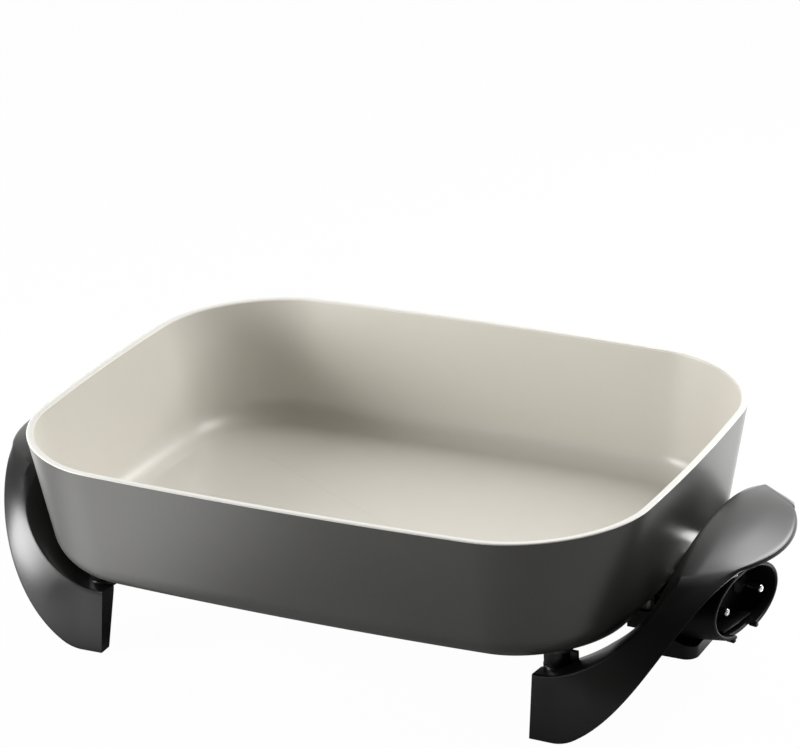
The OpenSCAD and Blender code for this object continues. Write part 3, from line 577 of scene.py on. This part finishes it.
faceShares = [*handle["belowRidge"], 1 - handle["ridgeAt"], handle["aboveRidge"]]
footUpper = Vector((endX - handle["footInset"], handle["footSetback"] - sideY, handle["footHeight"]))
soleInner = Vector((footUpper.x, footUpper.y - handle["footSplay"], 0))
soleOuter = soleInner + Vector((handle["footLength"], -handle["soleSkew"], 0))
footBack = footUpper + Vector((0, handle["footTopThick"], -handle["footTopDrop"]))
creaseInner = Vector((endX + handle["gap"], -handle["innerHalf"], handle["height"]))
creaseOuter = creaseInner + Vector((handle["rootReach"], handle["innerHalf"] - handle["outerHalf"],
                                    handle["outerRise"]))
creaseSkirt = Vector((endX - handle["skirtInset"], -handle["skirtHalf"], handle["skirtLow"]))


def along(start, end, pulls, t):
    return bezier([start, start + Vector(pulls[0]), end + Vector(pulls[1]), end], t)


def legUpper(t):
    return along(footUpper, creaseInner, handle["upperPulls"], t)


def legSharp(t):
    if t < handle["soleShare"]:
        return mix(soleInner, soleOuter, t / handle["soleShare"])
    share = (t - handle["soleShare"]) / (1 - handle["soleShare"])
    return along(soleOuter, creaseOuter, handle["lowerPulls"], share)


def legLower(t):
    # averaged over a window, so that the toe of the foot is round
    w = min(handle["toeRound"], t, 1 - t)
    return (legSharp(t - w) + legSharp(t - w / 3) + legSharp(t + w / 3) + legSharp(t + w)) / 4


def legSkirt(t):
    return along(footBack, creaseSkirt, handle["skirtPulls"], t)


# On the grip, g runs from -1 at the front crease to 1 at the rear one.
def gripUpper(g):
    bulge = 1 - g * g
    return Vector((creaseInner.x + handle["gripBulge"] * bulge, handle["innerHalf"] * g,
                   handle["height"] + handle["rise"] * bulge))


def gripLower(g):
    middle = gripUpper(0) + Vector((handle["gripReach"], 0, -handle["fall"]))
    return Vector((mix(middle.x, creaseOuter.x, g * g), handle["outerHalf"] * g,
                   mix(middle.z, creaseOuter.z, g * g)))


def gripSkirt(g):
    return Vector((mix(endX - handle["skirtMiddleInset"], creaseSkirt.x, g * g), handle["skirtHalf"] * g,
                   mix(handle["skirtHeight"], creaseSkirt.z, g * g)))


def softened(corners, sharp):
    # replaces each sharp corner by a short arc of four points
    ring = []
    for n, corner in enumerate(corners):
        if n not in sharp:
            ring.append(corner)
            continue
        radius = handle["edgeRound"] if n else handle["crispEdge"]   # the outer lower edge is crisper
        before = corners[n - 1] - corner
        after = corners[(n + 1) % len(corners)] - corner
        start = corner + before.normalized() * min(radius, before.length * handle["edgeShare"])
        end = corner + after.normalized() * min(radius, after.length * handle["edgeShare"])
        ring += [start * (1 - t) ** 2 + corner * 2 * t * (1 - t) + end * t * t for t in (0, 0.33, 0.67, 1)]
    return ring


def section(lower, upper, skirt, face, solid, swell=0.0, tuck=0.0):
    # one ring round the moulding, from its lower outer edge over its face and down its inner side
    wall = handle["wall"]
    down = (lower - upper).normalized()
    inward = (skirt - upper).normalized()
    flatIn = Vector((upper.x - lower.x, upper.y - lower.y, 0)).normalized()
    rimWay = mix(inward, flatIn, tuck).normalized()   # tucked in under the grip, straight back on the legs
    backOfSole = mix(lower + wall * rimWay, lower + Vector((0, handle["footThick"], 0)), solid)
    low = Vector((backOfSole.x, backOfSole.y, max(backOfSole.z, 0)))
    underSkirt = skirt + wall * down
    innerCorner = mix(upper + wall * (down + inward), (underSkirt + low) / 2, solid)
    innerSide = [mix(upper, skirt, f) - swell * rise * down for f, rise in handle["innerSwell"]]
    hollow = [mix(underSkirt, innerCorner, 0.5), innerCorner, mix(innerCorner, low, 0.5), low]
    corners = [lower] + face + [upper] + innerSide + [skirt, underSkirt] + hollow
    upperAt = len(face) + 1
    skirtAt = upperAt + len(innerSide) + 1
    return softened(corners, {0, upperAt, skirtAt, skirtAt + 1, len(corners) - 1})


def legFace(lower, upper, skirt, crown, ridge):
    outward = (upper - skirt).normalized()
    top = 1 - handle["ridgeAt"]
    return [mix(lower, upper, f) + (crown * hump(f) + ridge * min(f / top, (1 - f) / (1 - top))) * outward
            for f in faceShares]


def gripFace(lower, upper, skirt, g):
    # a rolled lip, a crowned top and a ridge near the upper edge; the ridge grows towards both creases
    flatOut = Vector((lower.x - upper.x, lower.y - upper.y, 0)).normalized()
    up = Vector((0, 0, 1))
    lip = mix(handle["lip"], handle["cornerStep"], g ** handle["lipPower"])
    rolled = [lower + out * lip * flatOut + rise * lip * up for out, rise in handle["lipRoll"]]
    brow = lower - handle["browSet"] * lip * flatOut + lip * up
    ridgeAt = mix(handle["ridgeMiddleAt"], handle["ridgeAt"], g * g)
    ridgeRise = mix(handle["ridgeMiddle"], handle["ridge"], g * g)
    ridge = mix(upper, lower, ridgeAt) + ridgeRise * (upper - skirt).normalized()
    crown = [mix(brow, ridge, f) + handle["gripCrown"] * (1 - g * g) * hump(f) * up for f in (0.33, 0.67)]
    return rolled + [brow] + crown + [ridge, mix(ridge, upper, 0.5)]


def legRing(t):
    # t runs from 0 at the foot to 1 at the crease; the foot is solid, the leg above it hollow
    lower, upper, skirt = legLower(t), legUpper(t), legSkirt(t)
    solid = clamp(1 - (t - handle["soleShare"]) / (handle["solidShare"] - handle["soleShare"]))
    ridge = handle["ridge"] * clamp((t - handle["ridgeStart"]) / (1 - handle["ridgeStart"])) ** 3
    swell = handle["swell"] * (1 - solid) * clamp((handle["swellEnd"] - t) / handle["swellFade"])
    own = legFace(lower, upper, skirt, handle["faceCrown"] * (1 - solid), ridge)
    grips = gripFace(lower, upper, skirt, -1)
    share = clamp((t - handle["faceBlend"]) / (1 - handle["faceBlend"])) ** 2   # takes the grip's form
    face = [mix(a, b, share) for a, b in zip(own, grips, strict=True)]
    return section(lower, upper, skirt, face, solid, swell)


def gripRing(g):
    lower, upper, skirt = gripLower(g), gripUpper(g), gripSkirt(g)
    lower.x -= handle["notch"] * g ** handle["notchPower"]
    face = gripFace(lower, upper, skirt, g)
    return section(lower, upper, skirt, face, 0, tuck=1 - g ** handle["tuckPower"])


def easeCrease(rings, crease):
    # averages neighbouring rings round the crease
    for turns in range(handle["creaseEase"]):
        span = range(crease - handle["creaseSpan"], crease + handle["creaseSpan"])
        fresh = {n: [(a + 2 * b + c) / 4 for a, b, c in zip(*rings[n - 1:n + 2], strict=True)]
                 for n in span}
        for n in span:
            rings[n] = fresh[n]


def flipped(ring):
    return [Vector((p.x, -p.y, p.z)) for p in ring]


def handleForm():
    legSteps, gripSteps = handle["legSteps"], handle["gripSteps"]
    leg = [legRing(n / legSteps) for n in range(legSteps + 1)]
    grip = [gripRing(handle["gripEnd"] * (2 * n / gripSteps - 1)) for n in range(gripSteps + 1)]
    rings = leg + grip
    easeCrease(rings, len(leg))   # the front crease is soft, the rear one stays crisp
    bm = loft(rings + [flipped(ring) for ring in reversed(leg)])
    for side in (-1, 1):
        foot = (post["x"], side * post["y"], padZ - post["padDepth"])
        addCylinder(bm, post["radius"] + post["padRim"], post["padDepth"], foot, post["edge"])
    return bm


def makeHandles():
    right = handleForm()
    left = mirrored(right)
    finishPiece(right, "handleRight", "blackPhenolic", ["handle_right"])
    finishPiece(left, "handleLeft", "blackPhenolic", ["handle_left"])


makeHandles()


# The posts between the legs and the pan, each with a rib that points to the pan's end.
def makePosts():
    half = post["ribThick"] / 2
    for nameX, sx in (("Left", -1), ("Right", 1)):
        for nameY, sy in (("Front", -1), ("Rear", 1)):
            bm = bmesh.new()
            x, y = sx * post["x"], sy * post["y"]
            addCylinder(bm, post["radius"], post["height"], (x, y, padZ), post["edge"], post["steps"])
            near, far = sorted((x, x + sx * post["rib"]))
            addBox(bm, (near, y - half, padZ), (far, y + half, padZ + post["height"]), post["ribEdge"])
            node = f"post_{nameY.lower()}_{nameX.lower()}"
            finishPiece(bm, "post" + nameY + nameX, "blackPhenolic", [node])


makePosts()


# The socket: its guard and the two contact pins.
socket = {
    "reach": 27.7, "shift": 2, "turn": 11.4, "halfW": 35.6, "halfH": 21.9, "z": 49, "wall": 2.5, "steps": 96,
    "backX": endX - 9.5, "backY": 5.5, "backHalfW": 39.7, "backHalfH": 23.9, "backZ": 46.4,
    "wallShares": (0, 0.2, 0.4, 0.6, 0.8, 0.96), "lipRound": 1.2, "lipSteps": 8,
    "notchWidth": 22, "notchDepth": 6, "notchRise": 5, "notchSpare": 3, "notchRound": 1.2,
    "tabWidth": 3, "tabHeight": 3.2, "tabDrop": 0.8, "tabRecess": 0.6, "tabEdge": 0.5,
    "ledgeRise": 4.5, "ledgeThick": 1.6, "ledgeLength": 10, "ledgeHalf": 15.5, "ledgeSetback": 1,
    "ledgeEdge": 0.4,
}
turn = math.radians(socket["turn"])
pinWay = Vector((math.cos(turn), -math.sin(turn), 0))
pinSide = Vector((math.sin(turn), math.cos(turn), 0))
mouth = Vector((endX + socket["reach"], socket["shift"], socket["z"]))
socketPlace = Matrix.Translation(mouth) @ Matrix.Rotation(-turn, 4, "Z")


def ovalRing(inset, share, out=0.0):
    # the guard's oval: share 0 is at its back, 1 at the mouth
    ring = []
    for n in range(socket["steps"]):
        a = 2 * math.pi * n / socket["steps"]
        front = mouth + out * pinWay + (socket["halfW"] - inset) * math.cos(a) * pinSide
        front.z += (socket["halfH"] - inset) * math.sin(a)
        back = Vector((socket["backX"], socket["backY"] + (socket["backHalfW"] - inset) * math.cos(a),
                       socket["backZ"] + (socket["backHalfH"] - inset) * math.sin(a)))
        ring.append(mix(back, front, share))
    return ring


def guardTube():
    half = socket["wall"] / 2
    outside = [ovalRing(0, share) for share in socket["wallShares"]]
    inside = [ovalRing(socket["wall"], share) for share in reversed(socket["wallShares"])]
    turns = [math.pi * n / socket["lipSteps"] for n in range(socket["lipSteps"] + 1)]
    lip = [ovalRing(half * (1 - math.cos(a)), 1, socket["lipRound"] * (math.sin(a) - 1)) for a in turns]
    bm = loft(outside + lip + inside, capped=False)
    loose = [edge for edge in bm.edges if len(edge.link_faces) == 1]
    bmesh.ops.bridge_loops(bm, edges=loose)
    return bm


def makeGuard():
    # boxes are given in the mouth's own frame: x out of the socket, z up from its middle
    half, depth, bottom = socket["notchWidth"] / 2, socket["notchDepth"], -socket["halfH"]
    notch = bmesh.new()
    addBox(notch, (-depth, -half, bottom - socket["notchSpare"]),
           (socket["notchSpare"], half, bottom + socket["notchRise"]), socket["notchRound"], socketPlace)
    bm = cutWith(guardTube(), notch)
    tabLow = bottom - socket["tabDrop"]
    for side in (-1, 1):
        near, far = sorted((side * half, side * (half + socket["tabWidth"])))
        addBox(bm, (-depth, near, tabLow), (-socket["tabRecess"], far, tabLow + socket["tabHeight"]),
               socket["tabEdge"], socketPlace)
    ledgeLow = bottom + socket["ledgeRise"]
    ledgeEnd = -depth - socket["ledgeSetback"]
    addBox(bm, (ledgeEnd - socket["ledgeLength"], -socket["ledgeHalf"], ledgeLow),
           (ledgeEnd, socket["ledgeHalf"], ledgeLow + socket["ledgeThick"]),
           socket["ledgeEdge"], socketPlace)
    finishPiece(bm, "socketGuard", "mattPhenolic", ["probe_guard"])


# the dish in a pin's tip is given as (radius, depth)
pin = {
    "pitch": 37.8, "radius": 2.38, "shankRadius": 2.18, "recess": 1.5, "contactStart": 16.5, "root": 34.1,
    "shoulder": 0.2, "nose": 0.9, "noseSteps": 6, "dish": ((0.95, 0), (0.8, 0.15), (0.65, 0.9), (0, 1.1)),
    "steps": 40,
}


def pinProfile():
    # (radius, place along the pin), from the root to the middle of the dished tip
    radius, shank, start, nose = pin["radius"], pin["shankRadius"], -pin["contactStart"], pin["nose"]
    body = [(0, -pin["root"]), (shank, -pin["root"]), (shank, start), (radius - pin["shoulder"], start),
            (radius, start + pin["shoulder"])]
    turns = [math.pi / 2 * n / pin["noseSteps"] for n in range(pin["noseSteps"] + 1)]
    body += [(radius - nose * (1 - math.cos(a)), -pin["recess"] - nose * (1 - math.sin(a))) for a in turns]
    return body + [(r, -pin["recess"] - depth) for r, depth in pin["dish"]]


def makePins():
    for name, side in (("Front", -1), ("Rear", 1)):
        bm = bmesh.new()
        line = [bm.verts.new((x, radius, 0)) for radius, x in pinProfile()]
        edges = [bm.edges.new(pair) for pair in zip(line, line[1:])]
        bmesh.ops.spin(bm, geom=line + edges, cent=(0, 0, 0), axis=(1, 0, 0), angle=2 * math.pi,
                       steps=pin["steps"], use_merge=True)
        bmesh.ops.translate(bm, vec=(0, side * pin["pitch"] / 2, 0), verts=bm.verts)
        bmesh.ops.transform(bm, matrix=socketPlace, verts=bm.verts)
        finishPiece(bm, "contactPin" + name, "brightSteel", ["terminal_pin_" + name.lower()])


makeGuard()
makePins()


# The heating element: one sheathed bar, run from pin to pin.
element = {
    "radius": 4, "sides": 24, "sheathStart": 27.1, "leadIn": 8.5, "bendRadius": 60, "bendSteps": 4,
    "loopHalf": 75, "loopEnd": 150, "loopStart": 132, "nearBend": 18, "farBend": 30, "turnSteps": 14,
    "creaseAngle": 50,
}


def runBar(bm, ring, moves):
    # straight moves extrude the ring along a way, bends spin it round a centre
    for move in moves:
        if move[0] == "straight":
            made = bmesh.ops.extrude_edge_only(bm, edges=ring)["geom"]
            ring = [edge for edge in edgesOf(made) if len(edge.link_faces) == 1]
            bmesh.ops.translate(bm, vec=move[1], verts=vertsOf(made))
        else:
            _, centre, degrees, steps = move
            verts = list({vert for edge in ring for vert in edge.verts})
            made = bmesh.ops.spin(bm, geom=verts + ring, cent=centre, axis=(0, 0, 1),
                                  angle=math.radians(degrees), steps=steps)
            ring = edgesOf(made["geom_last"])


def makeElement():
    bm = bmesh.new()
    z = socket["z"]
    bend, near, far = element["bendRadius"], element["nearBend"], element["farBend"]
    half, start, steps = element["loopHalf"], element["loopStart"], element["turnSteps"]
    back = element["sheathStart"] + element["leadIn"]
    bendX = mouth.x - back * math.cos(turn) - bend * math.sin(turn)
    leadMid = mouth.y + back * math.sin(turn) + bend * (1 - math.cos(turn))
    farX = far - element["loopEnd"]
    for side in (-1, 1):
        leadY = leadMid + side * pin["pitch"] / 2
        nearY = side * (half - near)
        foot = mouth - element["sheathStart"] * pinWay + side * pin["pitch"] / 2 * pinSide
        facing = Matrix.Rotation(-turn, 4, "Z") @ Matrix.Rotation(math.pi / 2, 4, "Y")
        made = bmesh.ops.create_circle(bm, segments=element["sides"], radius=element["radius"],
                                       cap_ends=False, matrix=Matrix.Translation(foot) @ facing)
        cap = ringEdges(made["verts"])
        runBar(bm, cap, [
            ("straight", -element["leadIn"] * pinWay),
            ("bend", (bendX, leadMid - bend, z), socket["turn"], element["bendSteps"]),
            ("straight", Vector((start + near - bendX, 0, 0))),
            ("bend", (start + near, leadY + side * near, z), -side * 90, steps),
            ("straight", Vector((0, nearY - leadY - side * near, 0))),
            ("bend", (start - near, nearY, z), side * 90, steps),
            ("straight", Vector((farX - start + near, 0, 0))),
            ("bend", (farX, side * (half - far), z), side * 90, steps),
            ("straight", Vector((0, -side * (half - far), 0))),
        ])
        bmesh.ops.contextual_create(bm, geom=cap)
    finishPiece(bm, "heatingBar", "sheathSteel", ["heating_element"],
                element["creaseAngle"])


makeElement()


# Materials of the frame's own pieces that stay.
carriedOver = {
    "zincSteel": ["element_clamps", "clamp_screws", "housing_screws", "cover_screws", "guard_screws",
                  "grip_screws_left", "grip_screws_right", "leg_screws", "leg_washers", "probe_tube"],
    # the pin insulators take the near-black painted shade of the socket's inside
    "insulatorPaintedShade": ["pin_insulator_front", "pin_insulator_rear"],
    "mattPhenolic": ["terminal_block", "terminal_housing", "housing_cover", "grip_cover_left",
                     "grip_cover_right"],
}
for look, nodes in carriedOver.items():
    for name in nodes:
        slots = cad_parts[name].data.materials
        slots.clear()
        slots.append(looks[look])
print("frame pieces dressed:", sum(len(nodes) for nodes in carriedOver.values()))


# Floor, light and camera, in metres.
# Only the camera sees the floor white. The object sees a dim room, a lit sweep and paler pools on it.
# A span is where a glow starts and where it is full; a pool is full up to its first distance.
studio = {
    "floorSize": 12, "floor": (0.35, 0.35, 0.345), "floorRough": 0.9, "floorShine": 0.1,
    "cameraWhite": 0.94, "white": 1.04, "air": (1, 1, 0.99), "ambient": 0.045,
    "rear": 0.32, "rearWay": (-0.45, 0.8, 0.4), "rearSpan": (0, 0.8),
    "backdrop": 0.8, "backdropWay": (-0.2, 1, 0.05), "backdropSpan": (0.5, 0.95),
    "sweep": 1.05, "sweepWay": (-0.35, 1, 0), "sweepSpan": (0.03, 0.2),
}
pools = {
    "right": {"at": (0.232, 0.115, 0), "span": (0.05, 0.1), "glow": 2.7},
    "left": {"at": (-0.24, -0.26, 0), "span": (0.05, 0.2), "glow": 1.1},
}


def measured(flow, operation, first, second):
    return flow.node("VectorMath", out="Value", operation=operation, feeds={0: first, 1: second})


def smoothRamp(flow, value, span):
    low, high = span
    return flow.node("MapRange", interpolation_type="SMOOTHSTEP",
                     feeds={"Value": value, "From Min": low, "From Max": high})


def makeFloor():
    material = bpy.data.materials.new("paleFloor")
    material.use_nodes = True
    tree = material.node_tree
    paper = tree.nodes["Principled BSDF"]
    paper.inputs["Base Color"].default_value = (*studio["floor"], 1)
    paper.inputs["Roughness"].default_value = studio["floorRough"]
    paper.inputs["Specular IOR Level"].default_value = studio["floorShine"]
    flow = Flow(tree)
    seen = flow.node("LightPath", out="Is Camera Ray")
    place = flow.node("TexCoord", out="Object")
    behind = measured(flow, "DOT_PRODUCT", place, studio["sweepWay"])
    lit = smoothRamp(flow, behind, studio["sweepSpan"]) * studio["sweep"]
    for pool in pools.values():   # where the softboxes strike the paper
        away = measured(flow, "DISTANCE", place, pool["at"])
        lit = lit + (1 - smoothRamp(flow, away, pool["span"])) * pool["glow"]
    white = flow.node("Emission", feeds={"Color": (1, 1, 1, 1), "Strength": studio["white"]})
    glow = flow.node("Emission", feeds={"Color": (1, 1, 1, 1), "Strength": lit * (1 - seen)})
    glowing = flow.node("AddShader", feeds={0: Flow(tree, paper.outputs[0]), 1: glow})
    both = flow.node("MixShader", feeds={0: seen * studio["cameraWhite"], 1: glowing, 2: white})
    tree.links.new(both.socket, tree.nodes["Material Output"].inputs["Surface"])
    bm = bmesh.new()
    bmesh.ops.create_grid(bm, x_segments=1, y_segments=1, size=studio["floorSize"])
    mesh = bpy.data.meshes.new("studioFloor")
    bm.to_mesh(mesh)
    bm.free()
    mesh.materials.append(material)
    floor = bpy.data.objects.new("studioFloor", mesh)
    bpy.context.scene.collection.objects.link(floor)


def makeWorld():
    world = bpy.data.worlds.new("softStudio")
    world.use_nodes = True
    bpy.context.scene.world = world
    background = world.node_tree.nodes["Background"]
    flow = Flow(world.node_tree)
    way = flow.node("TexCoord", out="Generated")
    lit = studio["ambient"]
    for part in ("rear", "backdrop"):
        ahead = measured(flow, "DOT_PRODUCT", way, Vector(studio[part + "Way"]).normalized())
        lit = lit + smoothRamp(flow, ahead, studio[part + "Span"]) * studio[part]
    seen = flow.node("LightPath", out="Is Camera Ray")
    flow.feed(background.inputs["Color"], (*studio["air"], 1))
    flow.feed(background.inputs["Strength"], seen + (1 - seen) * lit)


# softboxes: place, what they face, width and height, and brightness of the cloth
lamps = {
    "boxFrontLeft": {
        "at": (-0.893, -0.616, 0.328), "aim": (-0.23, -0.06, 0.08), "size": (0.5, 0.52), "glow": 16.5,
    },
    "boxRearRight": {
        "at": (0.55, 0.68, 0.78), "aim": (0.18, 0, 0.1), "size": (0.64, 0.8), "glow": 8,
    },
}


def makeLamps():
    for name, lamp in lamps.items():
        light = bpy.data.lights.new(name, "AREA")
        light.shape = "RECTANGLE"
        light.size, light.size_y = lamp["size"]
        light.energy = lamp["glow"] * math.pi * light.size * light.size_y
        holder = bpy.data.objects.new(name, light)
        holder.location = lamp["at"]
        facing = Vector(lamp["aim"]) - Vector(lamp["at"])
        holder.rotation_euler = facing.to_track_quat("-Z", "Y").to_euler()
        bpy.context.scene.collection.objects.link(holder)


# lens and sensor in millimetres; right and up are the camera's own directions
camera = {
    "place": (0.8852, -1.6902, 0.9639), "lens": 151.66, "sensor": 36, "far": 50,
    "right": (0.89537, 0.44322, -0.04319), "up": (-0.13637, 0.36522, 0.92088),
}


def makeCamera():
    data = bpy.data.cameras.new("studioCamera")
    data.lens = camera["lens"]
    data.sensor_width = camera["sensor"]
    data.clip_end = camera["far"]
    holder = bpy.data.objects.new("studioCamera", data)
    right, up = Vector(camera["right"]), Vector(camera["up"])
    turned = Matrix((right, up, right.cross(up))).transposed().to_4x4()
    holder.matrix_world = Matrix.Translation(camera["place"]) @ turned
    bpy.context.scene.collection.objects.link(holder)
    bpy.context.scene.camera = holder


makeFloor()
makeWorld()
makeLamps()
makeCamera()
bpy.context.scene.view_settings.view_transform = "Standard"
print("stage, lamps and camera set")
